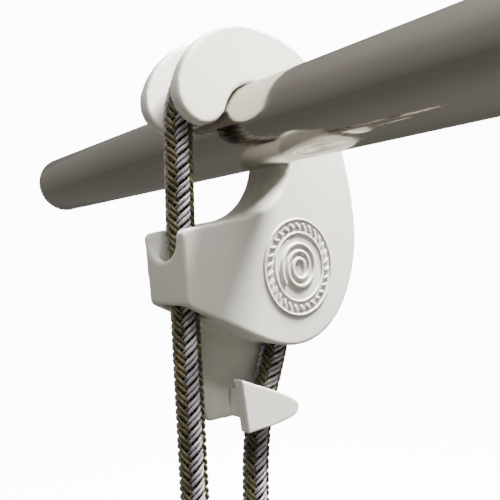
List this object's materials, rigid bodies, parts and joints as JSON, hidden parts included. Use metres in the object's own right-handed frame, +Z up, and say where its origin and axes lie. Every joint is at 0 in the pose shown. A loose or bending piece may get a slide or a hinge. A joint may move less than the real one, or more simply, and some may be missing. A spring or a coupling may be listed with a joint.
{
  "type": "rail-hung line hook",
  "caption": "Moulded hook over a round stainless rail, with a braided line led over its head in a groove and down into a jam cleat.",
  "frame": {"origin": "on the rail's axis, in the hook's middle plane", "axes": "+X along the rail, +Y towards the hook's back, +Z up; the hook's mouth opens towards -Y"},
  "size_m": [0.26, 0.0761, 0.2033],
  "materials": {
    "rail_steel": "polished stainless tube",
    "hook_plastic": "moulded off-white acetal, satin",
    "braided_line": "twelve-plait polyester braid, olive and silver-grey",
    "whipping_twine": "waxed whipping twine",
    "thimble_steel": "turned stainless"
  },
  "bodies": {
    "rail": {"rail_tube": "rail_steel"},
    "hook": {"hook_half_near": "hook_plastic", "hook_half_far": "hook_plastic", "jam_horn": "hook_plastic", "line_bight": "braided_line"},
    "load_side": {"load_strand": "braided_line", "splice_throat": "whipping_twine", "load_eye": "braided_line", "eye_thimble": "thimble_steel"},
    "tail_side": {"tail_strand": "braided_line", "tail_whipping": "whipping_twine"}
  },
  "joints": [
    {"name": "hook_swing", "type": "hinge", "parent": "rail", "child": "hook", "pos_m": [0, 0, 0], "axis": [1, 0, 0], "range_deg": [-45, 45]},
    {"name": "load_swing", "type": "hinge", "parent": "hook", "child": "load_side", "pos_m": [0, -0.0234, -0.0554], "axis": [1, 0, 0], "range_deg": [-25, 3]},
    {"name": "tail_swing", "type": "hinge", "parent": "hook", "child": "tail_side", "pos_m": [0, 0, -0.093], "axis": [1, 0, 0], "range_deg": [-2, 20]}
  ]
}
